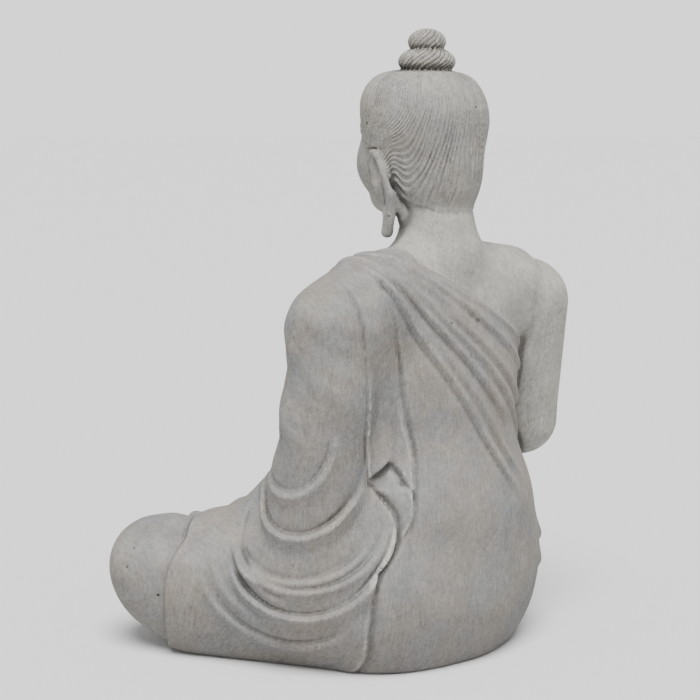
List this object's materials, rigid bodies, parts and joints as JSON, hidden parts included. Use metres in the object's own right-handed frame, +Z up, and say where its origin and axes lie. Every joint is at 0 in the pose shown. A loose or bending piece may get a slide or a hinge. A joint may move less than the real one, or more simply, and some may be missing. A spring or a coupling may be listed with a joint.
{
  "type": "seated buddha figurine",
  "caption": "One-piece cast garden figurine of a seated buddha, legs crossed, hands in the lap, robe over the left shoulder, hair tied in a coiled topknot",
  "frame": {"origin": "middle of the figure's outline, on the ground it sits on", "axes": "+Z up, -Y the way the figure faces, +X towards the figure's left hand"},
  "size_m": [0.4828, 0.3346, 0.6012],
  "materials": {
    "cast_stone": "matt, slightly rough casting with worn pale ridges"
  },
  "bodies": {
    "root": {"buddha_figure": "cast_stone"}
  },
  "joints": []
}
